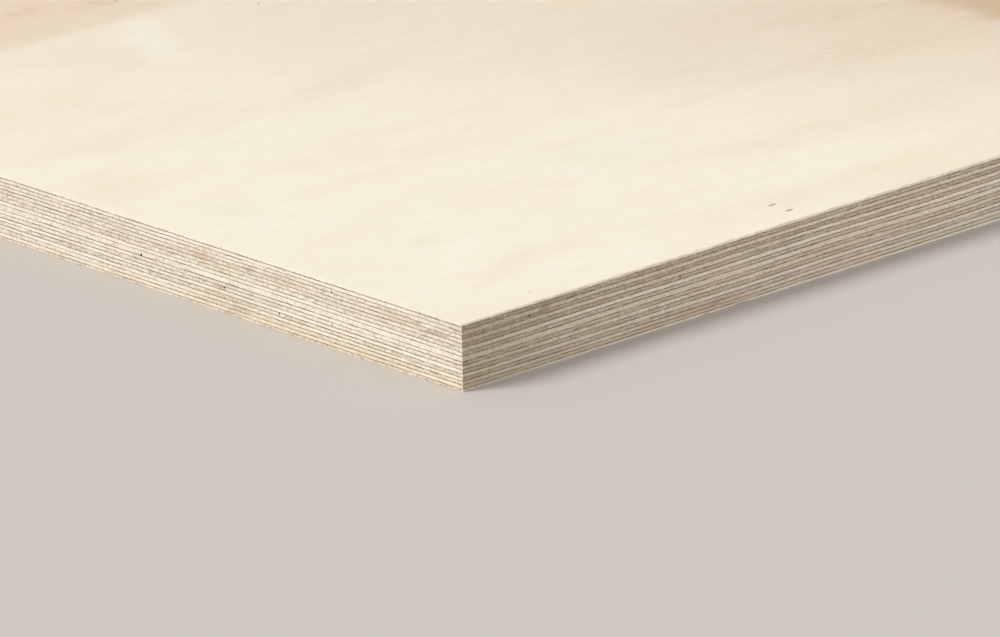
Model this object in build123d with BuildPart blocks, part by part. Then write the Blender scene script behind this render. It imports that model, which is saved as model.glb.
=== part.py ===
from build123d import *
import os

# Birch plywood sheet, 24 mm, lying flat with its face veneer up.
# Lengths are millimetres. The origin is under the middle of the sheet, on its back face.
# X runs along the grain of the face veneer and Y across it.

# Sheet as it is sold, sawn square to a stock size
sheet_length = 2440.0
sheet_width = 1220.0

# Lay-up: each crossband has a long-grain veneer above it and one below it,
# so the number of veneers is always odd and both outer veneers run lengthwise
crossbands = 8

# Veneers as pressed, each with half of the thin glue line on either side of it.
# Sanding has taken the two outer ones down below the thickness of the others.
face_thickness = 0.75
long_thickness = 1.53
cross_thickness = 1.38
centre_thickness = 1.98
back_thickness = 1.05

# Open splits, where a veneer's end grain has parted at the sawn edge.
# Each is a wedge as high as its veneer, widest at the edge and closing along the grain.
# A crossband's splits open on the long side, and a long-grain veneer's on the end.
# Each is measured along that edge from the sheet's near corner, at low X and low Y.
split_depth = 9.0
splits = [
    {"veneer": 3, "from_corner": 66.0, "opening": 0.4},
    {"veneer": 4, "from_corner": 31.5, "opening": 0.25},
    {"veneer": 6, "from_corner": 103.0, "opening": 0.6},
    {"veneer": 9, "from_corner": 167.0, "opening": 0.5},
    {"veneer": 11, "from_corner": 122.5, "opening": 0.35},
    {"veneer": 13, "from_corner": 93.5, "opening": 0.5},
]

veneer_count = 2 * crossbands + 1
centre_number = crossbands + 1
corner_x = -sheet_length / 2
corner_y = -sheet_width / 2


def runs_lengthwise(number):
    """Veneers are counted from the face down, and the odd ones have their grain along X."""
    return number % 2 == 1


def thickness_of(number):
    if number == 1:
        return face_thickness
    if number == veneer_count:
        return back_thickness
    if number == centre_number:
        return centre_thickness
    if runs_lengthwise(number):
        return long_thickness
    return cross_thickness


def name_of(number):
    if number == 1:
        kind = "face_veneer"
    elif number == veneer_count:
        kind = "back_veneer"
    elif number == centre_number:
        kind = "centre_veneer"
    elif runs_lengthwise(number):
        kind = "long_veneer"
    else:
        kind = "crossband"
    return f"ply_{number:02d}_{kind}"


def bottom_of(number):
    """Height of a veneer's underside: all the veneers under it."""
    return sum(thickness_of(below) for below in range(number + 1, veneer_count + 1))


def split_outline(split):
    """A split seen from above: its two points at the edge, then its tip inside the sheet."""
    reach = split["opening"] / 2
    if runs_lengthwise(split["veneer"]):
        middle = corner_y + split["from_corner"]
        tip = (corner_x + split_depth, middle)
        return [(corner_x, middle - reach), (corner_x, middle + reach), tip]
    middle = corner_x + split["from_corner"]
    tip = (middle, corner_y + split_depth)
    return [(middle - reach, corner_y), (middle + reach, corner_y), tip]


def make_veneer(number):
    """One veneer over the whole sheet, in its place in the stack, with its splits."""
    with BuildPart() as veneer:
        with BuildSketch(Plane.XY.offset(bottom_of(number))):
            Rectangle(sheet_length, sheet_width)
            for split in splits:
                if split["veneer"] == number:
                    with BuildLine():
                        Polyline(*split_outline(split), close=True)
                    make_face(mode=Mode.SUBTRACT)
        extrude(amount=thickness_of(number))
    return veneer


os.makedirs("parts", exist_ok=True)

for number in range(1, veneer_count + 1):
    veneer = make_veneer(number)
    veneer.part.label = name_of(number)
    export_step(veneer.part, f"parts/{veneer.part.label}.step")

print(f"{veneer_count} veneers, sheet thickness {bottom_of(0):.2f} mm")
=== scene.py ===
import bmesh
import bpy
import math
from mathutils import Matrix, Vector, noise


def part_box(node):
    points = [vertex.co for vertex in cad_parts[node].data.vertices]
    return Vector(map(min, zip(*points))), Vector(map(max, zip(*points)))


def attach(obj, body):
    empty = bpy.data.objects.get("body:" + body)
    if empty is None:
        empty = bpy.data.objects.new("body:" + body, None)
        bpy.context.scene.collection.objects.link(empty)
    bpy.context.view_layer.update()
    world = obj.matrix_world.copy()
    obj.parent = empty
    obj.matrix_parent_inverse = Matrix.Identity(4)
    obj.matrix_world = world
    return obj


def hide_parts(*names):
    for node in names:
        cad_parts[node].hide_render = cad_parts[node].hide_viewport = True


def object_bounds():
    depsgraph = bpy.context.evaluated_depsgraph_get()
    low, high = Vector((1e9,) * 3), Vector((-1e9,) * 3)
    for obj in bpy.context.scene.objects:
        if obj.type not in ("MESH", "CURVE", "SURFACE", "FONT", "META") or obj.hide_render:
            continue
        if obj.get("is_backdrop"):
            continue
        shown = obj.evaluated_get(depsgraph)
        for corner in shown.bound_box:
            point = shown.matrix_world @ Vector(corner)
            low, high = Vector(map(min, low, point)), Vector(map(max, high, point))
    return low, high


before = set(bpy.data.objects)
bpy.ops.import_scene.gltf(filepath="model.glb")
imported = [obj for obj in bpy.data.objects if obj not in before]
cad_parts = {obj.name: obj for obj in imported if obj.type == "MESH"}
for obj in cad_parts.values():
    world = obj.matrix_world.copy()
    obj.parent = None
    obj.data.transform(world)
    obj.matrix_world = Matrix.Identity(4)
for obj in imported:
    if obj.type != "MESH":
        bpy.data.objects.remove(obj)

cad_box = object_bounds()
sheet_low, sheet_high = cad_box

# Camera, looking down on the near corner of the sheet as the photograph does.
# Its distance, height and direction were worked out from the lines of the sheet's edges.
camera_lens = 272.25
camera_sensor = 36.0
camera_from_corner = Vector((-1.6302, -1.7933, 0.8109))
camera_heading = math.radians(42.583)
camera_pitch = math.radians(18.454)
camera_roll = math.radians(1.196)

near_corner = Vector((sheet_low.x, sheet_low.y, sheet_high.z))
looking = Vector((
    math.sin(camera_heading) * math.cos(camera_pitch),
    math.cos(camera_heading) * math.cos(camera_pitch),
    -math.sin(camera_pitch),
))
lens = bpy.data.cameras.new("corner_view")
lens.lens = camera_lens
lens.sensor_width = camera_sensor
lens.clip_start = 0.05
lens.clip_end = 200.0
camera = bpy.data.objects.new("corner_view", lens)
bpy.context.scene.collection.objects.link(camera)
level_view = looking.to_track_quat("-Z", "Y").to_matrix().to_4x4()
camera.matrix_world = (
    Matrix.Translation(near_corner + camera_from_corner)
    @ level_view
    @ Matrix.Rotation(-camera_roll, 4, "Z")
)
bpy.context.scene.camera = camera


# Back veneer, the first one laid in the press, with its grain along the sheet.
# Rotary-peeled birch, sanded on its outer side after pressing and sawn to size with
# the whole sheet, so its lower arris is broken out here and there.
MM = 0.001
veneer_count = len(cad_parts)
run_length = 122.0 * MM
coarse_segment = run_length / 30
fine_segment = run_length / 80
merge_within = 0.001 * MM

# Rims that the broad faces are drawn within, and how far they waver.
hidden_rim = 12.0 * MM
face_rim = 5.0 * MM
rim_waver = 0.3 * MM

# Upright arrises at the corners: how far they are rounded, and how far fibres are torn and a
# painted highlight lightens the wood beside them.
arris_round = 0.26 * MM
arris_fuzz_and_highlight = 0.42 * MM

# Splits in the end grain: middle from the near corner, width at the sawn side, and the
# half of the veneer where each gapes. In the other half only a share of it stays open.
split_depth = 9.0 * MM
split_closed = 0.12
splits = [
    {"veneer": 3, "from_corner": 66.0 * MM, "opening": 0.9 * MM, "gapes": "low"},
    {"veneer": 4, "from_corner": 31.6 * MM, "opening": 0.8 * MM, "gapes": "high"},
    {"veneer": 6, "from_corner": 103.2 * MM, "opening": 1.2 * MM, "gapes": "high"},
    {"veneer": 9, "from_corner": 167.5 * MM, "opening": 1.2 * MM, "gapes": "low"},
    {"veneer": 11, "from_corner": 122.8 * MM, "opening": 1.0 * MM, "gapes": "high"},
    {"veneer": 13, "from_corner": 93.8 * MM, "opening": 1.1 * MM, "gapes": "high"},
]

corners = [
    Vector((sheet_low.x, sheet_low.y)),
    Vector((sheet_high.x, sheet_low.y)),
    Vector((sheet_high.x, sheet_high.y)),
    Vector((sheet_low.x, sheet_high.y)),
]
near_side, right_end, far_side, left_end = range(4)

# Every kind of unevenness reads noise of its own, and so does every veneer in it.
noise_spacing = 7.31
noise_of = {
    "give": 1.0, "scar": 5.0, "glue_wander": 20.0, "glue_waver": 50.0, "corner": 70.0,
    "glue_pools": 80.0, "glue_dabs": 90.0, "saw": 110.0, "crumbs": 150.0, "fine_crumbs": 160.0,
    "rim": 170.0,
}

# Where the lay-up bends up or down along the photographed sides: middle and reach along
# the side from their corner and down from the face, and the rise, all in millimetres.
bends_start = 10.0
bends = [
    {"side": near_side, "at": (50, 10), "reach": (110, 26), "rise": -0.24},
    {"side": near_side, "at": (120, 10), "reach": (55, 16), "rise": -0.35},
    {"side": near_side, "at": (196, 7), "reach": (55, 14), "rise": 0.34},
    {"side": near_side, "at": (180, 19), "reach": (50, 10), "rise": 0.27},
    {"side": near_side, "at": (45, 20), "reach": (60, 9), "rise": -0.35},
    {"side": near_side, "at": (240, 20), "reach": (50, 12), "rise": -0.21},
    {"side": left_end, "at": (146, 6), "reach": (48, 8), "rise": 0.35},
    {"side": left_end, "at": (45, 20), "reach": (60, 9), "rise": -0.30},
    {"side": left_end, "at": (120, 15), "reach": (70, 6), "rise": -0.18},
    {"side": left_end, "at": (120, 22), "reach": (60, 6), "rise": 0.14},
]


def node_of(number):
    """The CAD node of a veneer, counted from the face veneer down."""
    return next(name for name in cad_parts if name.startswith(f"ply_{number:02d}_"))


level_of = {n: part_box(node_of(n))[0].z for n in range(1, veneer_count + 1)}
level_of[0] = sheet_high.z


def runs_lengthwise(number):
    return number % 2 == 1


def side_of(x, y):
    """The sawn side that a point of the outline is nearest to."""
    gaps = (y - sheet_low.y, sheet_high.x - x, sheet_high.y - y, x - sheet_low.x)
    return gaps.index(min(gaps))


def whole_side(side):
    """A side from the corner where it starts to the one where it ends."""
    return corners[(side + 1) % len(corners)] - corners[side]


def runs_along(side):
    return round(whole_side(side).length / run_length)


def ripple(x, y, seed, size):
    """Smooth unevenness from -1 to 1, in bumps of about that size."""
    return noise.noise(Vector((x / size, y / size, seed * noise_spacing)))


def outline_points(number):
    """A veneer's outline: its worn corners, the ends of each run of its sides, and the
    notch of each split."""
    split_side = left_end if runs_lengthwise(number) else near_side
    for side, start in enumerate(corners):
        whole = whole_side(side)
        along = whole.normalized()
        inwards = Vector((-along.y, along.x))
        runs = runs_along(side)
        marks = [(whole.length * run / runs, 0.0) for run in range(1, runs)]
        worn = arris_round * (1.0 + 0.6 * ripple(*start, noise_of["corner"] + number, 0.01))
        marks += [(worn, 0.0), (arris_fuzz_and_highlight, 0.0), (whole.length - arris_fuzz_and_highlight, 0.0)]
        for split in splits:
            if split["veneer"] == number and side == split_side:
                middle = split["from_corner"]
                if side == left_end:
                    middle = whole.length - middle
                reach = split["opening"] / 2
                marks += [(middle - reach, 0.0), (middle, split_depth), (middle + reach, 0.0)]
        for angle in (0.0, 30.0, 60.0):
            turned = math.radians(angle)
            rounded = along * (1.0 - math.cos(turned)) + inwards * (1.0 - math.sin(turned))
            yield start + rounded * worn
        for distance, depth in sorted(marks):
            yield start + along * distance + inwards * depth


def draw_outline(bm, number, segment):
    """Draws the outline as a closed loop of short edges."""
    points = [bm.verts.new((p.x, p.y, 0.0)) for p in outline_points(number)]
    edges = [bm.edges.new(ends) for ends in zip(points, points[1:] + points[:1])]
    for edge in edges:
        cuts = round(edge.calc_length() / segment) - 1
        if cuts > 0:
            bmesh.ops.subdivide_edges(bm, edges=[edge], cuts=cuts)
    return list(bm.edges)


def bent(x, y, level):
    """How far the lay-up rises there, in millimetres, by the bends that the photo shows."""
    along = (Vector((x, y)) - corners[0]).length / MM
    down = (sheet_high.z - level) / MM
    rise = 0.0
    for bend in bends:
        if bend["side"] == side_of(x, y):
            off_along = (along - bend["at"][0]) / bend["reach"][0]
            off_down = (down - bend["at"][1]) / bend["reach"][1]
            share = max(0.0, 1.0 - off_along * off_along - off_down * off_down)
            rise += bend["rise"] * share ** 2
    return rise * min(1.0, along / bends_start)


# How far from the platens the sheet is free to give.
give_depth = 4.0 * MM


def glue_rise(boundary, x, y):
    """How far the glue line under that veneer strays from its level. Neighbouring lines
    wander together, as the sheet gave a little in the press, and less near the platens."""
    if boundary in (0, veneer_count):
        return 0.0
    level = level_of[boundary]
    freedom = min(1.0, (sheet_high.z - level) / give_depth, (level - sheet_low.z) / give_depth)
    together = 0.60 * ripple(x, y, noise_of["give"] + 0.02 * boundary, 0.070)
    alone = 0.14 * ripple(x, y, noise_of["glue_wander"] + boundary, 0.030)
    fine = 0.06 * ripple(x, y, noise_of["glue_waver"] + boundary, 0.009)
    sanded_thinner = 0.08 if boundary == 1 and side_of(x, y) == left_end else 0.0
    return ((together + alone + bent(x, y, level)) * freedom + fine + sanded_thinner) * MM


def glue_half(boundary, x, y):
    """Half the glue line's thickness there, squeezed thin in some places."""
    pools = ripple(x, y, noise_of["glue_pools"] + boundary, 0.022)
    dabs = ripple(x, y, noise_of["glue_dabs"] + boundary, 0.006)
    return (0.12 + 0.06 * pools + 0.05 * dabs) * MM


def saw_depth(number, x, y):
    """How far the sawn surface lies inside the sheet's true side. End grain tears deeper."""
    end_grain = runs_lengthwise(number) == (side_of(x, y) in (right_end, left_end))
    torn = 0.5 + 0.5 * ripple(x, y, noise_of["saw"] + number, 0.005)
    return ((0.05 if end_grain else 0.015) + 0.03 * torn) * MM


# Wear of an outer arris, back over the broad face and then down the sawn edge, in
# millimetres: the least anywhere, then the most that coarse and fine crumbs add.
sandpapered = ((0.72, 0.40, 0.80), (0.22, 0.10, 0.24))
left_sharp = ((0.05, 0.08, 0.16), (0.02, 0.04, 0.12))
crumbled = ((0.10, 0.16, 0.40), (0.07, 0.12, 0.26))


def arris_wear(number, x, y):
    """How far back and how far down an outer arris is worn. A stroke of sandpaper eased
    the upper ones along the long sides. The lower ones there are left sharp, and those
    at the ends crumbled under the saw."""
    coarse = max(0.0, ripple(x, y, noise_of["crumbs"] + number, 0.021))
    fine = max(0.0, ripple(x, y, noise_of["fine_crumbs"] + number, 0.0036))
    wear = crumbled
    if side_of(x, y) in (near_side, far_side):
        wear = sandpapered if number == 1 else left_sharp
    return [(least + much * coarse + more * fine) * MM for least, much, more in wear]


# Splinters lost from the lower arris of the near side: where each starts and snaps, in
# millimetres from the near corner, and how deep it went.
splinters = [
    {"starts": 57.0, "snaps": 66.5, "deep": 0.16},
    {"starts": 113.3, "snaps": 117.2, "deep": 0.44},
    {"starts": 126.5, "snaps": 135.8, "deep": 0.36},
]


def breakout(number, x, y):
    """How much of the lower arris is gone where the saw came out. Each splinter tore off
    deeper and deeper, and then snapped."""
    if number != veneer_count or side_of(x, y) != near_side:
        return 0.0
    from_corner = (x - sheet_low.x) / MM
    for splinter in splinters:
        if splinter["starts"] < from_corner < splinter["snaps"]:
            torn = (from_corner - splinter["starts"]) / (splinter["snaps"] - splinter["starts"])
            return splinter["deep"] * math.sqrt(torn) * MM
    return 0.0


# A veneer's edge is drawn in seven rings: ring 0 is hidden under the veneer, rings 1 to 5
# go up its sawn edge, and the last lies on top of it. Of the rows of faces between them,
# the first takes in the underside and the last one the top.
inner_rows = ["hidden", "glue", "wood", "wood", "glue", "hidden"]
row_parts = {number: inner_rows for number in range(2, veneer_count)}
row_parts[1] = ["hidden", "glue", "wood", "wood", "wood", "face"]
row_parts[veneer_count] = ["face", "wood", "wood", "wood", "glue", "hidden"]
part_slots = {"wood": 0, "glue": 1, "hidden": 2, "face": 3}
last_ring = len(inner_rows)
middle_ring = last_ring // 2
glue_rings = (1, last_ring - 1)
glue_sunk = 0.05 * MM


def off_corners(point):
    """Distance to the nearest corner of the sheet."""
    return min((point - corner).length for corner in corners)


def rim_inset(number, x, y, rim):
    """How far in a broad face's rim lies. Away from the corners it wavers a little, so that
    no three of its points are in line and the broad face closes with sound triangles."""
    if off_corners(Vector((x, y))) < 1.5 * rim:
        return rim
    return rim + rim_waver * ripple(x, y, noise_of["rim"] + number, 0.004)


def ring_at(number, ring, x, y):
    """How far in and how high a ring of a veneer's edge lies there."""
    low, high = level_of[number], level_of[number - 1]
    if ring == 0:
        return rim_inset(number, x, y, hidden_rim), low
    if ring == last_ring:
        return rim_inset(number, x, y, face_rim if number == 1 else hidden_rim), high
    sawn = saw_depth(number, x, y)
    back, down = arris_wear(number, x, y)
    if number == 1 and ring >= middle_ring:
        eased = ((0.0, 1.0), (0.35, 0.35), (1.0, 0.0))
        share_back, share_down = eased[ring - middle_ring]
        return sawn + share_back * back, high - share_down * down
    if ring == middle_ring:
        return sawn, (low + high + glue_rise(number, x, y) + glue_rise(number - 1, x, y)) / 2
    if number == veneer_count and ring < middle_ring:
        lost = breakout(number, x, y)
        return (sawn + back + lost, low) if ring == 1 else (sawn, low + down + lost)
    boundary = number if ring < middle_ring else number - 1
    height = level_of[boundary] + glue_rise(boundary, x, y)
    if ring in glue_rings:
        return sawn + glue_sunk, height
    upwards = 1 if ring < middle_ring else -1
    return sawn, height + upwards * glue_half(boundary, x, y)


def narrowed(number, ring, x, y):
    """A point at a split, moved to where the split is all but closed: it gapes only in
    the upper or the lower half of its veneer."""
    for split in splits:
        gaping = (4, 5) if split["gapes"] == "high" else (1, 2)
        if split["veneer"] != number or ring in gaping:
            continue
        middle, reach = split["from_corner"], split["opening"] / 2 + 0.01 * MM
        if runs_lengthwise(number):
            off = y - sheet_low.y - middle
            if abs(off) < reach and x < sheet_low.x + split_depth + MM:
                y -= off * (1.0 - split_closed)
        else:
            off = x - sheet_low.x - middle
            if abs(off) < reach and y < sheet_low.y + split_depth + MM:
                x -= off * (1.0 - split_closed)
    return x, y


def place_on_side(point, side):
    """Distance along a side from the corner where it starts, in runs."""
    return (point - corners[side]).dot(whole_side(side).normalized()) / run_length


# Room that each part of a piece has on its UV map, and how high each ring of the sawn edge
# lies in its row there.
map_across = (0.002, 0.998)
map_upper_half = (0.502, 0.998)
map_foot = (0.002, 0.052)
map_foot_across = {"underside": (0.002, 0.492), "top": (0.508, 0.998)}
map_row = (0.08, 0.92)
ring_rises = [0.0, 0.0, 0.14, 0.5, 0.86, 1.0, 1.0]


def part_way(room, share):
    return room[0] + (room[1] - room[0]) * share


def unroll(bm, number, home, ring_of, row_of):
    """Gives each face its own place on the piece's UV map. The sawn edge is unrolled in
    rows of one run each, above one another, and the broad faces lie flat below or above."""
    uv = bm.loops.layers.uv.new("OFBake")
    edge_low, edge_high = (0.06, 0.49) if number in (1, veneer_count) else (0.06, 1.0)
    runs_of = [runs_along(side) for side in range(len(corners))]
    row_height = (edge_high - edge_low) / sum(runs_of)
    span = sheet_high - sheet_low
    for face in bm.faces:
        row = row_of[face]
        part = row_parts[number][row]
        if part in ("wood", "glue"):
            middle = sum((home[v] for v in face.verts), Vector((0.0, 0.0))) / len(face.verts)
            side = side_of(middle.x, middle.y)
            run = int(place_on_side(middle, side))
            base = edge_low + (sum(runs_of[:side]) + run) * row_height
            for loop in face.loops:
                along = place_on_side(home[loop.vert], side) - run
                rise = part_way(map_row, ring_rises[ring_of[loop.vert]])
                loop[uv].uv = (part_way(map_across, along), base + row_height * rise)
            continue
        room_across, room_up = map_across, map_upper_half
        if part == "hidden":
            room_across = map_foot_across["underside" if row == 0 else "top"]
            room_up = map_foot
        for loop in face.loops:
            across = (loop.vert.co.x - sheet_low.x) / span.x
            up = (loop.vert.co.y - sheet_low.y) / span.y
            loop[uv].uv = (part_way(room_across, across), part_way(room_up, up))


def in_split(point):
    """Whether a point of the outline lies inside the sheet, so in a split and not on a side."""
    gaps = [*(point - sheet_low.xy), *(sheet_high.xy - point)]
    return min(gaps) > 0.1 * MM


def by_arris(point):
    """Whether a point of the outline lies in the torn fibres of an upright arris."""
    return off_corners(point) < 1.2 * arris_fuzz_and_highlight


def beside_glue(number, ring):
    """1 for the rings along a glue line, 0 for those in the middle of the veneer or on an
    outer arris. The wood's finish reads it as the attribute near_glue."""
    upper_arris = number == 1 and ring > middle_ring
    lower_arris = number == veneer_count and ring < middle_ring
    return 0.0 if ring == middle_ring or upper_arris or lower_arris else 1.0


def settle_order(bm):
    """Sorts edges and faces, which an extrusion leaves in another order on each run."""
    bm.verts.index_update()
    for parts in (bm.edges, bm.faces):
        in_order = sorted(parts, key=lambda part: sorted(v.index for v in part.verts))
        place_of = {part: place for place, part in enumerate(in_order)}
        parts.sort(key=place_of.get)


def veneer_mesh(number, segment):
    """A veneer as a closed solid: its outline drawn up ring by ring, and its two faces."""
    bm = bmesh.new()
    near_glue = bm.verts.layers.float.new("near_glue")
    loop = draw_outline(bm, number, segment)
    underside = bmesh.ops.contextual_create(bm, geom=loop)["faces"]
    home = {v: Vector((v.co.x, v.co.y)) for v in bm.verts}
    ring_of = {v: 0 for v in bm.verts}
    row_of = {face: 0 for face in underside}
    for ring in range(1, last_ring + 1):
        made = bmesh.ops.extrude_edge_only(bm, edges=loop)["geom"]
        fresh = {g for g in made if isinstance(g, bmesh.types.BMVert)}
        loop = [g for g in made if isinstance(g, bmesh.types.BMEdge)]
        loop = [edge for edge in loop if edge.verts[0] in fresh and edge.verts[1] in fresh]
        row_of.update({g: ring - 1 for g in made if isinstance(g, bmesh.types.BMFace)})
        ring_of.update({v: ring for v in fresh})
        home.update({v: Vector((v.co.x, v.co.y)) for v in fresh})
    top = bmesh.ops.contextual_create(bm, geom=loop)["faces"]
    row_of.update({face: last_ring - 1 for face in top})
    for v, ring in ring_of.items():
        x, y = home[v]
        inset, height = ring_at(number, ring, x, y)
        x, y = narrowed(number, ring, x, y)
        v.co.x = min(max(x, sheet_low.x + inset), sheet_high.x - inset)
        v.co.y = min(max(y, sheet_low.y + inset), sheet_high.y - inset)
        v.co.z = height
        v[near_glue] = beside_glue(number, ring)
    for face, row in row_of.items():
        part = row_parts[number][row]
        # Walls of an open split take the dark glued-side finish: painted shade deep in the split.
        if part == "wood" and any(in_split(home[v]) for v in face.verts):
            part = "hidden"
        if part == "glue" and all(by_arris(home[v]) for v in face.verts):
            part = "wood"
        face.material_index = part_slots[part]
    unroll(bm, number, home, ring_of, row_of)
    bmesh.ops.remove_doubles(bm, verts=list(bm.verts), dist=merge_within)
    bmesh.ops.recalc_face_normals(bm, faces=list(bm.faces))
    settle_order(bm)
    mesh = bpy.data.meshes.new(node_of(number) + "_pressed")
    bm.to_mesh(mesh)
    bm.free()
    return mesh


def colour(red, green, blue):
    """A colour as it is seen, 0 to 255, in the linear light that shaders work in."""
    def linear(value):
        share = value / 255
        return share / 12.92 if share <= 0.04045 else ((share + 0.055) / 1.055) ** 2.4
    return (linear(red), linear(green), linear(blue), 1.0)


def shader_node(tree, kind, inputs, **settings):
    """Adds a node. An input is a number, a colour or the socket that feeds it."""
    made = tree.nodes.new("ShaderNode" + kind)
    for name, value in settings.items():
        setattr(made, name, value)
    for key, value in inputs.items():
        if isinstance(value, bpy.types.NodeSocket):
            tree.links.new(value, made.inputs[key])
        else:
            made.inputs[key].default_value = value
    return made


def calc(tree, operation, first, second=0.0):
    return shader_node(tree, "Math", {0: first, 1: second}, operation=operation).outputs[0]


def between(tree, value, low, high, low_share=0.0, high_share=1.0):
    """Rises smoothly from low_share to high_share as value goes from low to high."""
    sockets = {0: value, 1: low, 2: high, 3: low_share, 4: high_share}
    return shader_node(tree, "MapRange", sockets, interpolation_type="SMOOTHSTEP").outputs[0]


def mixed(tree, share, under, over, blend="MIX"):
    sockets = {0: share, 6: under, 7: over}
    made = shader_node(tree, "Mix", sockets, data_type="RGBA", blend_type=blend)
    return made.outputs[2]


def stretched(tree, scales, offset=(0.0, 0.0, 0.0), place=None):
    """Places on the piece in metres, times a scale for each axis, as a pattern reads them."""
    place = place or shader_node(tree, "TexCoord", {}).outputs["Object"]
    sockets = {"Vector": place, "Scale": scales, "Location": offset}
    return shader_node(tree, "Mapping", sockets).outputs[0]


def pattern(tree, scales, detail=3.0, roughness=0.55, offset=(0.0, 0.0, 0.0), place=None):
    """Cloudy noise round 0.5, with that many clouds to the metre along each axis."""
    sockets = {
        "Vector": stretched(tree, scales, offset, place),
        "Scale": 1.0,
        "Detail": detail,
        "Roughness": roughness,
    }
    return shader_node(tree, "TexNoise", sockets).outputs[0]


def uneven(tree, scales, push):
    """Places on the piece, each pushed aside a little, so that marks get uneven outlines."""
    place = shader_node(tree, "TexCoord", {}).outputs["Object"]
    clouds = shader_node(tree, "TexNoise", {"Vector": stretched(tree, scales), "Scale": 1.0})
    off_middle = {0: clouds.outputs[1], 1: (0.5, 0.5, 0.5)}
    centred = shader_node(tree, "VectorMath", off_middle, operation="SUBTRACT")
    pushed = shader_node(tree, "VectorMath", {0: centred.outputs[0], 1: push}, operation="MULTIPLY")
    return shader_node(tree, "VectorMath", {0: place, 1: pushed.outputs[0]}).outputs[0]


def mark_share(tree, place, middle, reach, turn=(0.0, 0.0, 0.0), core=0.0):
    """How much of a mark lies at each place: 1 within its core and 0 past its reach."""
    sockets = {"Vector": place, "Location": middle, "Rotation": turn, "Scale": reach}
    own = shader_node(tree, "Mapping", sockets, vector_type="TEXTURE").outputs[0]
    away = shader_node(tree, "VectorMath", {0: own}, operation="LENGTH").outputs["Value"]
    return between(tree, away, 1.0, core)


def raised(tree, tone, cloud, strength):
    """A tone made lighter and darker by a pattern."""
    centred = calc(tree, "SUBTRACT", cloud, 0.5)
    sockets = {0: centred, 1: strength, 2: tone}
    return shader_node(tree, "Math", sockets, operation="MULTIPLY_ADD").outputs[0]


def ramp(tree, tone, stops):
    """Turns a tone into colour by way of a few stops, darkest first."""
    made = shader_node(tree, "ValToRGB", {0: tone})
    elements = made.color_ramp.elements
    elements[0].color, elements[1].color = stops[0][1], stops[-1][1]
    for position, shade in stops[1:-1]:
        elements.new(position).color = shade
    return made.outputs[0]


def tinged(tree, surface, tinges):
    """Multiplies a colour by tinges: each by a cloudy pattern, where it starts to show and
    where it shows in full."""
    for clouds, starts, full, tinge in tinges:
        share = between(tree, clouds, starts, full)
        surface = mixed(tree, share, surface, (*tinge, 1.0), "MULTIPLY")
    return surface


def new_finish(name):
    """A material with an empty tree but for its shader."""
    finish = bpy.data.materials.new(name)
    finish.use_nodes = True
    return finish, finish.node_tree, finish.node_tree.nodes["Principled BSDF"]


def edge_stain(at, reach, shade, share, turn=0):
    """A stain on a sawn side: middle and reach in millimetres along the side from the
    photographed corner and down from the face, and its turn in degrees."""
    return {"at": at, "reach": reach, "shade": shade, "share": share, "turn": turn}


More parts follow.
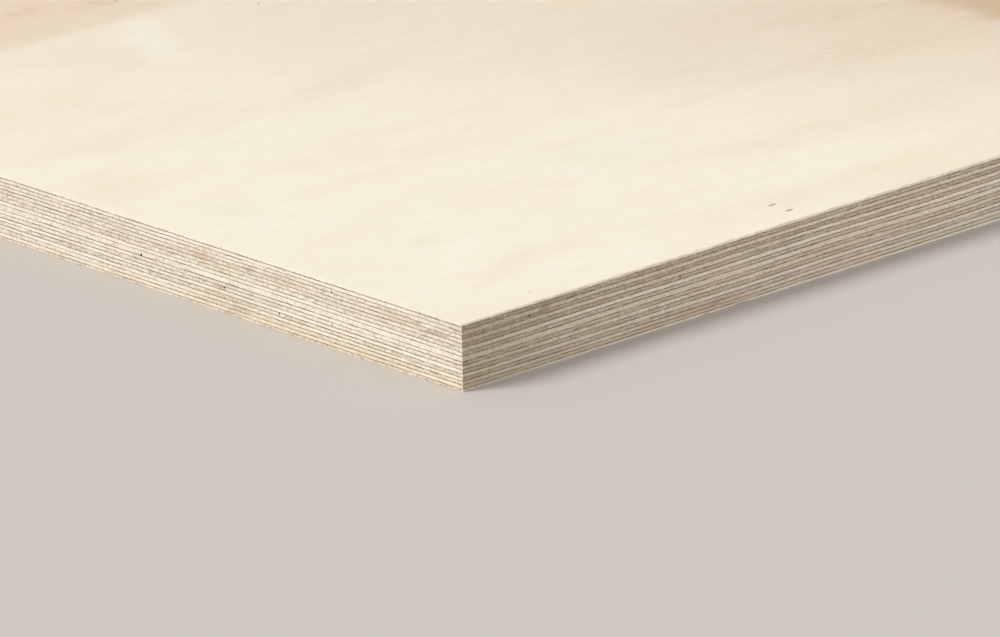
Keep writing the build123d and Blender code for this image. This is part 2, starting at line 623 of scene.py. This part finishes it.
blush, umber, olive = colour(224, 197, 176), colour(160, 134, 108), colour(204, 194, 164)
soot, bleached, russet_and_bounce_light = colour(70, 56, 44), colour(252, 248, 238), colour(196, 164, 138)
honey, rosy, cream = colour(236, 210, 166), colour(242, 204, 186), colour(255, 240, 216)
left_end_stains = [
    edge_stain((3, 2.5), (6, 0.5), umber, 0.7),
    edge_stain((11, 5.9), (8, 0.6), umber, 0.5, -4),
    edge_stain((16.5, 6.0), (3, 0.9), umber, 0.6),
    edge_stain((22, 4.2), (4, 0.8), umber, 0.5),
    edge_stain((4.6, 8.2), (2, 0.4), umber, 0.5),
    edge_stain((18, 8.2), (3, 0.5), umber, 0.6),
    edge_stain((34, 4.6), (14, 2.4), blush, 0.4, -2),
    edge_stain((14, 20.2), (3.5, 0.9), umber, 0.7),
    edge_stain((21.5, 20.0), (3, 0.5), umber, 0.7),
    edge_stain((25.5, 19.8), (4, 1.2), olive, 0.6),
    edge_stain((44, 18.6), (10, 2.0), olive, 0.2),
    edge_stain((52, 6.7), (8, 0.7), blush, 0.7),
    edge_stain((78, 7.7), (4.5, 0.8), umber, 0.5, -3),
    edge_stain((64, 20.0), (2.6, 0.4), umber, 0.7),
    edge_stain((92, 5.0), (17, 2.4), blush, 0.45, -3),
    edge_stain((103, 7.8), (5, 0.5), blush, 0.8),
    edge_stain((109, 4.9), (5, 1.2), umber, 0.5),
    edge_stain((103, 10.6), (6, 1.0), bleached, 0.6),
    edge_stain((120, 5.5), (2, 0.9), umber, 0.4),
    edge_stain((118, 12.5), (3, 0.4), umber, 0.7),
    edge_stain((134, 5.6), (9, 2.8), blush, 0.8, -4),
    edge_stain((134, 7.9), (5, 0.6), umber, 0.4),
    edge_stain((134, 11.6), (12, 0.9), bleached, 0.7),
    edge_stain((125.5, 14.7), (5, 0.8), umber, 0.6),
    edge_stain((133, 14.6), (2, 0.6), umber, 0.7),
    edge_stain((136.2, 13.9), (2, 0.5), colour(124, 110, 80), 0.7),
    edge_stain((148, 5.4), (8, 2.0), blush, 0.5),
    edge_stain((208, 17.0), (7, 1.2), blush, 0.6),
    edge_stain((12, 1.4), (22, 2.4), umber, 0.15),
    edge_stain((158, 3.5), (24, 4.5), bleached, 0.36),
    edge_stain((70, 1.9), (24, 2.2), bleached, 0.45),
    edge_stain((188, 14.0), (38, 2.5), bleached, 0.24),
    edge_stain((54, 5.5), (26, 3.6), bleached, 0.16),
    edge_stain((154, 2.0), (18, 2.2), bleached, 0.24),
    edge_stain((167, 6.0), (14, 2.5), bleached, 0.14),
    edge_stain((150, 10.0), (14, 2.2), bleached, 0.15),
    edge_stain((164, 21.8), (44, 2.4), cream, 0.32),
    edge_stain((115, 6.0), (12, 2.4), umber, 0.10),
    edge_stain((204, 10.0), (16, 2.2), umber, 0.12),
    edge_stain((204, 18.0), (16, 2.2), umber, 0.12),
    edge_stain((124, 18.0), (22, 2.4), blush, 0.20),
    edge_stain((112, 14.0), (26, 2.2), umber, 0.14),
    edge_stain((115, 21.4), (12, 2.4), umber, 0.28),
    edge_stain((48, 6.0), (14, 2.5), bleached, 0.22),
    edge_stain((78, 11.0), (16, 4.0), bleached, 0.25),
    edge_stain((155, 21.8), (20, 2.2), bleached, 0.40),
    edge_stain((45, 21.9), (30, 2.0), umber, 0.10),
    edge_stain((115, 17.5), (26, 3.0), umber, 0.22),
    edge_stain((98, 14.0), (14, 2.0), umber, 0.10),
    edge_stain((70, 21.8), (130, 2.8), honey, 0.28),
]
near_side_stains = [
    edge_stain((1.8, 13.4), (1.1, 0.5), soot, 0.9),
    edge_stain((3, 20.0), (9, 1.8), russet_and_bounce_light, 0.4),
    edge_stain((31.6, 4.2), (1.8, 0.7), umber, 0.7),
    edge_stain((39.5, 2.9), (5, 1.0), umber, 0.6),
    edge_stain((54.5, 14.2), (3, 0.5), umber, 0.6),
    edge_stain((62, 3.7), (2.4, 0.5), umber, 0.5),
    edge_stain((65, 6.8), (6, 1.3), russet_and_bounce_light, 0.35),
    edge_stain((81.3, 0.7), (1.3, 0.5), soot, 0.7),
    edge_stain((76.5, 17.0), (2.4, 0.4), umber, 0.7),
    edge_stain((92, 6.9), (2.4, 0.6), russet_and_bounce_light, 0.45),
    edge_stain((110, 15.0), (9, 4.0), blush, 0.25),
    edge_stain((120, 7.5), (26, 3.0), blush, 0.3),
    edge_stain((120.3, 21.2), (4, 0.5), umber, 0.8),
    edge_stain((116, 20.6), (24, 1.4), umber, 0.28),
    edge_stain((30, 17.9), (36, 0.9), bleached, 0.32),
    edge_stain((22, 20.8), (30, 0.9), bleached, 0.28),
    edge_stain((24, 0.3), (28, 0.7), bleached, 0.30),
    edge_stain((168, 10.8), (4, 0.5), umber, 0.5),
    edge_stain((205, 19.8), (5, 0.4), umber, 0.5),
    edge_stain((212, 3.5), (26, 3.5), blush, 0.2),
    edge_stain((105, 4.5), (62, 5.5), umber, 0.13),
    edge_stain((100, 11.0), (64, 5.0), umber, 0.15),
    edge_stain((146, 7.0), (18, 4.5), umber, 0.16),
    edge_stain((190, 12.0), (60, 9.0), umber, 0.06),
    edge_stain((105, 19.5), (62, 5.0), umber, 0.15),
    edge_stain((20, 8.0), (45, 4.5), umber, 0.10),
    edge_stain((95, 1.6), (30, 2.2), umber, 0.16),
    edge_stain((49, 1.8), (14, 2.0), umber, 0.22),
    # A russet tint along the lowest veneers of the long side is painted warm bounce light from
    # below.
    edge_stain((110, 22.4), (160, 2.6), russet_and_bounce_light, 0.22),
    edge_stain((190, 17.0), (70, 6.0), russet_and_bounce_light, 0.08),
    edge_stain((215, 12.0), (75, 14.0), rosy, 0.11),
    edge_stain((95, 20.6), (150, 4.6), rosy, 0.10),
    edge_stain((68, 18.0), (34, 2.6), umber, 0.07),
    edge_stain((214, 2.0), (26, 2.6), bleached, 0.12),
    edge_stain((200, 18.0), (36, 2.4), bleached, 0.16),
    edge_stain((198, 21.6), (56, 2.8), cream, 0.20),
    edge_stain((146, 21.8), (14, 2.2), bleached, 0.10),
]

# How pale each veneer's wood is, from the face down, on the scale of the sawn tones, and
# how much darker it looks where the saw cut across its fibres.
# The back veneer, last in the list, is set paler than the wood on the long side: painted light
# against the shade where it rests on the floor.
paleness = [
    0.695, 0.78, 0.56, 0.65, 0.61, 0.635, 0.855, 0.815, 0.705, 0.74, 0.635,
    0.86, 0.83, 0.82, 0.751, 0.76, 1.02,
]
# The crossbands' end grain shows on the long sides, and is set darker there than the wood alone:
# painted shade of the light grazing its open pores.
end_shade = [
    -0.11, 0.355, -0.115, 0.25, -0.07, 0.19, 0.14, 0.25, -0.11, 0.215, -0.068,
    0.352, 0.15, 0.245, 0.04, 0.075, 0.398,
]
sawn_tones = [
    (0.0, colour(121, 104, 83)),
    (0.3, colour(195, 181, 161)),
    (0.6, colour(233, 221, 204)),
    (1.0, colour(255, 250, 236)),
]
glue_tones = [
    (0.0, colour(208, 193, 161)),
    (0.5, colour(137, 120, 91)),
    (1.0, colour(96, 81, 58)),
]
# How far from the near corner the long side is painted darker, as painted shade of the light
# falling off towards that corner.
corner_shade_reach = Vector((130.0, 3.0, 220.0)) * MM
dull_gloss = 0.25


# How deep a stain soaks in and how far it may stray past its reach, in millimetres, and
# the share of its reach that it covers in full.
stain_soaks_in = 3.0
stain_strays = 0.5
stain_core = 0.2


def stained(tree, surface, number, stains, along_axis):
    """Adds the stains that reach a veneer to its colour, on the side along that axis."""
    top, bottom = (sheet_high.z - level_of[n] for n in (number - 1, number))
    place = uneven(tree, (160.0, 160.0, 700.0), (5.0 * MM, 5.0 * MM, 0.9 * MM))
    for stain in stains:
        along, down = stain["at"]
        wide, tall = stain["reach"]
        stray = tall + stain_strays
        if not top / MM - stray < down < bottom / MM + stray:
            continue
        middle = Vector((0.0, 0.0, -down))
        middle[along_axis] = along
        reach = Vector((stain_soaks_in, stain_soaks_in, tall))
        reach[along_axis] = wide
        turn = [0.0, 0.0, 0.0]
        turn[1 - along_axis] = math.radians(stain["turn"])
        share = mark_share(tree, place, near_corner + middle * MM, reach * MM, turn, stain_core)
        share = calc(tree, "MULTIPLY", share, stain["share"])
        surface = mixed(tree, share, surface, stain["shade"])
    return surface


def glue_flow(tree):
    """How much resin there is along a glue line, from 0 to 1, in dashes and longer runs."""
    dashes = pattern(tree, (270.0, 270.0, 700.0), 3.0, 0.65)
    lengths = pattern(tree, (45.0, 45.0, 420.0), 3.0, 0.6)
    return calc(tree, "SUBTRACT", 1.0, raised(tree, raised(tree, 0.45, dashes, 2.1), lengths, 1.1))


def sawn_wood(number):
    """Birch on the sawn edge: pale streaks where the saw ran along the grain, and darker,
    open end grain where it cut across. Growth rings slope gently through each veneer."""
    finish, tree, shader = new_finish(f"sawn_birch_{number:02d}")
    shift = (3.7 * number, 5.3 * number, 1.9 * number)
    sloping = uneven(tree, (28.0, 28.0, 60.0), (0.0, 0.0, 5.0 * MM))
    rings = pattern(tree, (190.0, 190.0, 2400.0), 3.0, 0.6, shift, sloping)
    streaks = pattern(tree, (36.0, 36.0, 1000.0), 3.0, 0.6, shift, sloping)
    beads = pattern(tree, (680.0, 680.0, 1150.0), 2.0, 0.6, shift)
    patches = pattern(tree, (17.0, 17.0, 260.0), 2.0, 0.5)
    normal = shader_node(tree, "TexCoord", {}).outputs["Normal"]
    parts = shader_node(tree, "SeparateXYZ", {0: normal})
    facing_near = calc(tree, "GREATER_THAN", calc(tree, "MULTIPLY", parts.outputs[1], -1.0), 0.75)
    grain = 0.0
    for clouds, elsewhere, on_near_side in (
        (rings, 0.64, 0.46), (beads, 1.42, 1.05), (streaks, 0.50, 0.16), (patches, 0.28, 0.10)
    ):
        strength = between(tree, facing_near, 0.0, 1.0, elsewhere, on_near_side)
        grain = raised(tree, grain, clouds, strength)

    square_on = calc(tree, "ABSOLUTE", parts.outputs[0 if runs_lengthwise(number) else 1])
    end_grain = between(tree, square_on, 0.55, 0.8)
    pores = pattern(tree, (1500.0, 1500.0, 1500.0), 2.0, 0.7, shift)
    shaded = end_shade[number - 1]
    speckled, evened = (0.14, 0.0) if runs_lengthwise(number) else (0.16, 0.38)
    opened = between(tree, pores, 0.35, 0.65, shaded, shaded + speckled)
    kept = calc(tree, "SUBTRACT", 1.0, calc(tree, "MULTIPLY", end_grain, evened))
    tone = calc(tree, "ADD", paleness[number - 1], calc(tree, "MULTIPLY", grain, kept))
    tone = calc(tree, "SUBTRACT", tone, calc(tree, "MULTIPLY", end_grain, opened))

    place = shader_node(tree, "TexCoord", {}).outputs["Object"]
    places = shader_node(tree, "SeparateXYZ", {0: place})
    from_arris = [
        calc(tree, "SUBTRACT", sheet_high[axis], calc(tree, "ABSOLUTE", places.outputs[axis]))
        for axis in (0, 1)
    ]
    nearest = calc(tree, "MAXIMUM", *from_arris)
    # Lighter wood at the upright arrises: pale torn fibres, and a painted highlight where the arris
    # catches the light.
    torn = between(tree, nearest, arris_fuzz_and_highlight, 0.5 * arris_fuzz_and_highlight, 0.0, 0.45)
    tone = calc(tree, "ADD", tone, torn)
    surface = ramp(tree, tone, sawn_tones)

    warmth = pattern(tree, (22.0, 22.0, 200.0), 3.0, 0.6, (7.0, 7.0, 7.0))
    tints = pattern(tree, (80.0, 80.0, 220.0), 2.0, 0.5, shift)
    surface = tinged(tree, surface, (
        (warmth, 0.48, 0.62, (1.0, 0.974, 0.966)),
        (warmth, 0.48, 0.36, (0.99, 0.988, 0.967)),
        (tints, 0.50, 0.64, (1.0, 0.983, 0.988)),
        (tints, 0.50, 0.36, (0.99, 1.0, 0.975)),
    ))
    surface = stained(tree, surface, number, left_end_stains, along_axis=1)
    surface = stained(tree, surface, number, near_side_stains, along_axis=0)

    under_corner = Vector((near_corner.x, near_corner.y, 0.0))
    # Painted shade on the long side: the wood darkens towards the near corner.
    corner_shade_share = mark_share(tree, place, under_corner, corner_shade_reach)
    painted_corner_shade = calc(tree, "MULTIPLY", calc(tree, "MULTIPLY", corner_shade_share, corner_shade_share), facing_near)
    surface = mixed(tree, painted_corner_shade, surface, colour(217, 215, 208), "MULTIPLY")
    beside = shader_node(tree, "Attribute", {}, attribute_name="near_glue").outputs["Fac"]
    soaks_in = between(tree, facing_near, 0.0, 1.0, 0.30, 0.50)
    soaked = calc(tree, "MULTIPLY", between(tree, beside, 0.5, 1.0, 0.0, soaks_in), glue_flow(tree))
    surface = mixed(tree, soaked, surface, colour(146, 129, 99))
    # The tilted facets of the eased upper arris on the long sides go greyer: some wear, and painted
    # shade of facets turning from the light.
    leaning = between(tree, calc(tree, "ABSOLUTE", parts.outputs[1]), 0.04, 0.12)
    rubbed_and_shaded = calc(tree, "MULTIPLY", between(tree, parts.outputs[2], 0.3, 0.6), leaning)
    rubbed_and_shaded = calc(tree, "MULTIPLY", rubbed_and_shaded, between(tree, rings, 0.35, 0.65, 0.75, 0.35))
    surface = mixed(tree, rubbed_and_shaded, surface, colour(196, 184, 162))
    tree.links.new(surface, shader.inputs["Base Color"])

    rough = calc(tree, "ADD", 0.62, calc(tree, "MULTIPLY", end_grain, 0.2))
    tree.links.new(rough, shader.inputs["Roughness"])
    shader.inputs["Specular IOR Level"].default_value = dull_gloss
    relief = calc(tree, "ADD", rings, calc(tree, "MULTIPLY", end_grain, pores))
    bump = shader_node(tree, "Bump", {"Strength": 0.35, "Distance": 0.12 * MM, "Height": relief})
    tree.links.new(bump.outputs[0], shader.inputs["Normal"])
    return finish


def glue_finish():
    """Cured resin: brown, darker where the film is thick, with wood dust in it."""
    finish, tree, shader = new_finish("cured_glue")
    tree.links.new(ramp(tree, glue_flow(tree), glue_tones), shader.inputs["Base Color"])
    shader.inputs["Roughness"].default_value = 0.55
    return finish


def hidden_finish():
    """Inner sides of the veneers, dark with glue, which show only down an open split, and the split
    walls, painted dark as the shade deep in it.
    """
    finish, _, shader = new_finish("glued_side_and_split_shade")
    shader.inputs["Base Color"].default_value = colour(92, 70, 50)
    shader.inputs["Roughness"].default_value = 0.7
    return finish


milk, straw, rose = colour(245, 238, 220), colour(240, 230, 205), colour(239, 227, 208)
heartwood, tan = colour(232, 213, 190), colour(214, 193, 160)
photographed_reach = (700.0 * MM, 560.0 * MM, 1.0)
ring_count = 15.0


def sanded_face(name, seed, marks=()):
    """Outer birch, sanded: pale cream with soft clouds, faint growth rings that wander
    along the sheet, bands of rosy heartwood, small flecks and short pores. The bands keep
    off the photographed corner, where the marks stand for them."""
    finish, tree, shader = new_finish(name)
    shift = (seed, 2.3 * seed, 0.0)
    exact_place = shader_node(tree, "TexCoord", {}).outputs["Object"]
    place = uneven(tree, (14.0, 40.0, 1.0), (30.0 * MM, 13.0 * MM, 0.0))
    clouds = pattern(tree, (4.0, 10.0, 1.0), 3.0, 0.6, shift, place)
    veils = pattern(tree, (7.0, 22.0, 1.0), 3.0, 0.6, (shift[0] + 4.0, shift[1], 0.0), place)
    flecks = pattern(tree, (210.0, 300.0, 1.0), 3.0, 0.65, shift)
    tone = mixed(tree, between(tree, clouds, 0.45, 0.68, 0.0, 0.42), milk, straw)
    tone = mixed(tree, between(tree, veils, 0.5, 0.72, 0.0, 0.42), tone, rose)

    slope = pattern(tree, (0.9, 4.2, 1.0), 2.0, 0.45, shift, place)
    ring = calc(tree, "FRACT", calc(tree, "MULTIPLY", slope, ring_count))
    line = calc(tree, "MULTIPLY", calc(tree, "POWER", ring, 3.0), between(tree, ring, 1.0, 0.85))
    faint = calc(tree, "MULTIPLY", line, between(tree, veils, 0.4, 0.6, 0.02, 0.16))
    tone = mixed(tree, faint, tone, tan)

    wood = pattern(tree, (0.5, 5.0, 1.0), 2.0, 0.5, (2.0 + seed, 1.0, 0.0), place)
    streaks = pattern(tree, (5.0, 190.0, 1.0), 3.0, 0.6, shift)
    photographed = mark_share(tree, place, near_corner, photographed_reach, core=0.85)
    heart = calc(tree, "SUBTRACT", between(tree, wood, 0.575, 0.6), photographed)
    heart = calc(tree, "MAXIMUM", heart, 0.0)
    banded = calc(tree, "MULTIPLY", heart, between(tree, streaks, 0.35, 0.65, 0.45, 1.0))
    tone = mixed(tree, banded, tone, heartwood)

    for mark in marks:
        middle = near_corner + Vector((*mark["at"], 0.0)) * MM
        reach = Vector((mark["reach"][0] * MM, mark["reach"][1] * MM, 1.0))
        turn = (0.0, 0.0, math.radians(mark["turn"]))
        marked_place = exact_place if mark["exact"] else place
        share = mark_share(tree, marked_place, middle, reach, turn, mark["core"])
        if mark["flecked"]:
            share = calc(tree, "MULTIPLY", share, between(tree, flecks, 0.36, 0.62, 0.25, 1.0))
        tone = mixed(tree, calc(tree, "MULTIPLY", share, mark["share"]), tone, mark["shade"])

    mottle = pattern(tree, (60.0, 90.0, 1.0), 4.0, 0.65, shift)
    fibre = pattern(tree, (42.0, 1300.0, 1.0), 3.0, 0.6, shift)
    pores = pattern(tree, (330.0, 2600.0, 1.0), 1.0, 0.5, shift)
    tone = tinged(tree, tone, (
        (mottle, 0.36, 0.70, (0.982, 0.972, 0.945)),
        (flecks, 0.50, 0.75, (0.976, 0.962, 0.93)),
    ))
    tone = mixed(tree, between(tree, flecks, 0.42, 0.25, 0.0, 0.2), tone, colour(250, 245, 232))
    tone = mixed(tree, between(tree, fibre, 0.4, 0.85, 0.0, 0.05), tone, tan)
    tone = mixed(tree, between(tree, pores, 0.66, 0.78, 0.0, 0.06), tone, tan)
    tree.links.new(tone, shader.inputs["Base Color"])
    shader.inputs["Roughness"].default_value = 0.58
    shader.inputs["Specular IOR Level"].default_value = dull_gloss
    bump = shader_node(tree, "Bump", {"Strength": 0.15, "Distance": 0.05 * MM, "Height": fibre})
    tree.links.new(bump.outputs[0], shader.inputs["Normal"])
    return finish


glue = glue_finish()
glued_side_and_split_shade = hidden_finish()


def press_veneer(number, segment, face_finish=None):
    """Makes a veneer's piece in place of its CAD node."""
    mesh = veneer_mesh(number, segment)
    for finish in (sawn_wood(number), glue, glued_side_and_split_shade, face_finish or glued_side_and_split_shade):
        mesh.materials.append(finish)
    piece = bpy.data.objects.new(node_of(number) + "_pressed", mesh)
    bpy.context.scene.collection.objects.link(piece)
    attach(piece, "root")
    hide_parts(node_of(number))
    return piece


press_veneer(veneer_count, fine_segment, sanded_face("sanded_back", 31.0))


# Crossbands and the long-grain veneers between them, laid up in turn, each glued to
# the one below. They show only at the sawn edge, as bands of end grain and long grain.
for number in range(veneer_count - 1, 1, -1):
    press_veneer(number, coarse_segment)


# Face veneer, the best one, laid last with its grain along the sheet. It is sanded thin
# after pressing. Its arris is eased with sandpaper along the long sides, and at the ends
# it is only crumbled by the saw.
def face_mark(at, reach, shade, share, core=0.0, turn=0, flecked=False, exact=False):
    """A mark in the face: middle and reach in millimetres along and across the sheet from
    the near corner, and its turn in degrees. An exact one has an even outline."""
    return {
        "at": at, "reach": reach, "shade": shade, "share": share, "core": core, "turn": turn,
        "flecked": flecked, "exact": exact,
    }


warm_wood_and_falloff_shade, rosy_band = colour(222, 203, 180), colour(229, 208, 185)
dark_streak, straw_streak = colour(205, 180, 149), colour(233, 217, 186)
grey_cloud, grey_veil = colour(233, 224, 201), colour(226, 220, 204)
brown_speck, chalk = colour(104, 84, 60), colour(247, 246, 238)
face_marks = [
    # The first three marks, and the long one at 930 mm, darken the face away from the near corner:
    # partly a warmer tone of the wood, partly painted shade of the light falling off with distance
    # from it.
    face_mark((490, 160), (350, 215), warm_wood_and_falloff_shade, 1.0, core=0.05),
    face_mark((300, 400), (280, 205), colour(228, 211, 190), 0.62, core=0.05),
    face_mark((250, 260), (180, 130), warm_wood_and_falloff_shade, 0.30, core=0.05),
    face_mark((300, 412), (1100, 50), rosy_band, 0.80, core=0.72),
    face_mark((300, 412), (1100, 38), rosy_band, 0.55, core=0.5, flecked=True),
    face_mark((118, 420), (34, 15), colour(226, 213, 194), 0.70, core=0.2, turn=-10, flecked=True),
    face_mark((170, 392), (22, 10), colour(196, 172, 142), 0.42, flecked=True),
    face_mark((140, 402), (26, 7), colour(206, 184, 158), 0.42, flecked=True),
    face_mark((930, 160), (430, 90), warm_wood_and_falloff_shade, 0.65, core=0.2, flecked=True),
    face_mark((850, 145), (300, 44), dark_streak, 0.75, core=0.3, flecked=True),
    face_mark((610, 142), (230, 62), dark_streak, 0.90, core=0.45),
    face_mark((505, 139), (92, 74), dark_streak, 0.95, core=0.55),
    face_mark((440, 138), (60, 78), dark_streak, 0.97, core=0.64),
    face_mark((384, 134), (16, 22), colour(222, 199, 178), 0.50, flecked=True),
    face_mark((304, 34), (62, 36), colour(238, 215, 192), 0.22),
    face_mark((270, 290), (260, 200), grey_veil, 0.16, core=0.35),
    face_mark((60, 300), (90, 60), straw_streak, 0.26),
    face_mark((168, 108), (60, 46), grey_veil, 0.16),
    face_mark((345, 190), (60, 50), colour(226, 214, 194), 0.18),
    face_mark((325, 85), (46, 34), colour(228, 216, 194), 0.16),
    face_mark((60, 76), (46, 40), colour(251, 247, 236), 0.26),
    face_mark((255, 12), (115, 34), colour(226, 214, 184), 0.24),
    face_mark((335, 190), (130, 110), colour(205, 185, 160), 0.09),
    face_mark((152, 342), (38, 17), chalk, 0.38, turn=60),
    face_mark((138, 322), (18, 11), chalk, 0.26, turn=60),
    face_mark((60, 250), (90, 20), straw_streak, 0.28, turn=-8),
    face_mark((166, 246), (60, 18), colour(230, 209, 182), 0.42, turn=18, flecked=True),
    face_mark((22, 210), (26, 14), straw_streak, 0.40, turn=-10),
    face_mark((132, 187), (70, 10), straw_streak, 0.25, turn=-7),
    face_mark((325, 130), (60, 22), colour(214, 190, 162), 0.25, turn=-12, flecked=True),
    face_mark((352, 172), (30, 22), colour(214, 193, 165), 0.22, flecked=True),
    face_mark((295, 259), (24, 18), straw_streak, 0.45),
    face_mark((228, 22), (70, 12), straw_streak, 0.30),
    face_mark((290, 64), (52, 22), grey_cloud, 0.50, turn=-5),
    face_mark((53, 77), (14, 11), grey_cloud, 0.45),
    face_mark((48, 245), (18, 15), grey_cloud, 0.45),
    face_mark((29, 154), (17, 14), grey_cloud, 0.40),
    face_mark((118, 336), (40, 32), grey_cloud, 0.50),
    face_mark((150, 140), (120, 70), straw_streak, 0.05),
    face_mark((212.3, 346.2), (2.1, 0.6), brown_speck, 0.6, turn=48, exact=True),
    face_mark((176.9, 390.2), (2.0, 0.6), brown_speck, 0.7, turn=48, exact=True),
    face_mark((40.9, 9.9), (1.2, 0.8), brown_speck, 0.35, exact=True),
    face_mark((127, 140), (1.2, 0.8), brown_speck, 0.12, exact=True),
    face_mark((169.5, 13.2), (2.6, 0.5), brown_speck, 0.16, turn=10, exact=True),
    # A darker strip along the eased near arris: some grime, and painted shade where the arris
    # rounds over towards the shaded long side.
    face_mark((300, 0), (600, 2.5), colour(201, 189, 168), 0.70, flecked=True, exact=True),
    face_mark((0, 300), (2.4, 600), bleached, 0.5, core=0.3, flecked=True, exact=True),
]

# Two scars where something hard was dragged over the face, dirty at the bottom.
scars = [
    {"at": (167.9, 19.5), "long": 6.4, "wide": 2.0, "deep": 0.40, "turn": 8, "dirt": 0.74},
    {"at": (167.8, 10.8), "long": 6.2, "wide": 1.9, "deep": 0.48, "turn": 9, "dirt": 0.98},
]
scar_room = 1.6
scar_cuts = 39
for scar in scars:
    groove = (0.46 * scar["long"], 0.36 * scar["wide"])
    dirt = face_mark(scar["at"], groove, brown_speck, scar["dirt"], 0.3, scar["turn"], exact=True)
    face_marks.append(dirt)


def encloses(face, point):
    """Whether the point lies above an upward face of the broad side, by the face's box."""
    xs, ys = ([v.co[axis] for v in face.verts] for axis in (0, 1))
    inside = min(xs) < point.x < max(xs) and min(ys) < point.y < max(ys)
    return inside and face.normal.z > 0.9


def press_scars(piece):
    """Cuts a fine grid into the face round each scar, and presses the scar into it."""
    bm = bmesh.new()
    bm.from_mesh(piece.data)
    for scar in scars:
        middle = near_corner + Vector((*scar["at"], 0.0)) * MM
        room = Vector((scar["long"], scar["wide"] * 2.0, 0.0)) * 0.5 * scar_room * MM
        patch = max(bm.faces, key=lambda face: encloses(face, middle))
        for cut_at in (middle - room, middle + room):
            for normal in ((1.0, 0.0, 0.0), (0.0, 1.0, 0.0)):
                geometry = [patch, *patch.edges, *patch.verts]
                made = bmesh.ops.bisect_plane(bm, geom=geometry, plane_co=cut_at, plane_no=normal)
                halves = [part for part in made["geom"] if isinstance(part, bmesh.types.BMFace)]
                patch = max(halves, key=lambda face: encloses(face, middle))
        sides = list(patch.edges)
        made = bmesh.ops.subdivide_edges(bm, edges=sides, cuts=scar_cuts, use_grid_fill=True)
        turn = math.radians(scar["turn"])
        for v in {part for part in made["geom"] if isinstance(part, bmesh.types.BMVert)}:
            off = (v.co - middle) / MM
            along = (off.x * math.cos(turn) + off.y * math.sin(turn)) / (0.5 * scar["long"])
            across = (off.y * math.cos(turn) - off.x * math.sin(turn)) / (0.5 * scar["wide"])
            hollow = max(0.0, 1.0 - along * along) * max(0.0, 1.0 - across * across)
            ragged = 1.0 + 0.4 * ripple(v.co.x, v.co.y, noise_of["scar"], 0.0012)
            v.co.z -= scar["deep"] * hollow * ragged * MM
    bm.to_mesh(piece.data)
    bm.free()


best_face = sanded_face("sanded_face", 4.0, face_marks)
press_scars(press_veneer(1, fine_segment, best_face))


# Floor, a plain pale surface that the sheet lies flat on. It is dull all over, and
# reaches far past the sheet on every side.
floor_reach = 60.0
floor_mesh = bmesh.new()
bmesh.ops.create_grid(floor_mesh, x_segments=1, y_segments=1, size=floor_reach)
floor_data = bpy.data.meshes.new("floor")
floor_mesh.to_mesh(floor_data)
floor_mesh.free()
floor_finish, _, floor_shader = new_finish("pale_floor")
floor_shader.inputs["Base Color"].default_value = colour(201, 196, 189)
floor_shader.inputs["Roughness"].default_value = 0.9
floor_shader.inputs["Specular IOR Level"].default_value = 0.1
floor_data.materials.append(floor_finish)
floor = bpy.data.objects.new("floor", floor_data)
bpy.context.scene.collection.objects.link(floor)
floor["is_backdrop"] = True


# Light: a broad soft lamp high on the left, a warm reflector low on the right that
# fills the shaded side, and an even pale room round them.
room_strength = 0.56


def add_lamp(name, strength, spread, tint, towards):
    """A distant lamp, seen from the sheet in that direction and that many degrees wide."""
    light = bpy.data.lights.new(name, "SUN")
    light.energy = strength
    light.angle = math.radians(spread)
    light.color = tint
    lamp = bpy.data.objects.new(name, light)
    bpy.context.scene.collection.objects.link(lamp)
    lamp.rotation_euler = Vector(towards).to_track_quat("Z", "Y").to_euler()


add_lamp("soft_key", 2.14, 24.0, (1.0, 0.985, 0.96), (-1.45, 0.65, 1.5))
add_lamp("warm_reflector", 0.42, 50.0, (1.0, 0.905, 0.895), (0.5, -1.0, 0.32))

world = bpy.data.worlds.new("room")
bpy.context.scene.world = world
world.use_nodes = True
room = world.node_tree
room.nodes.clear()
ray = shader_node(room, "LightPath", {})
plain_view = calc(room, "MAXIMUM", ray.outputs["Is Camera Ray"], ray.outputs["Is Glossy Ray"])
plain_view = calc(room, "MAXIMUM", plain_view, ray.outputs["Is Transmission Ray"])
lighting = shader_node(room, "Background", {0: (1.0, 1.0, 1.0, 1.0), 1: room_strength})
backdrop = shader_node(room, "Background", {0: colour(206, 201, 194), 1: 1.0})
seen = {0: plain_view, 1: lighting.outputs[0], 2: backdrop.outputs[0]}
shader_node(room, "OutputWorld", {"Surface": shader_node(room, "MixShader", seen).outputs[0]})

bpy.context.scene.view_settings.view_transform = "Standard"

boxes = {"cad": cad_box, "visual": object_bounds()}
{name: [list(corner) for corner in box] for name, box in boxes.items()}
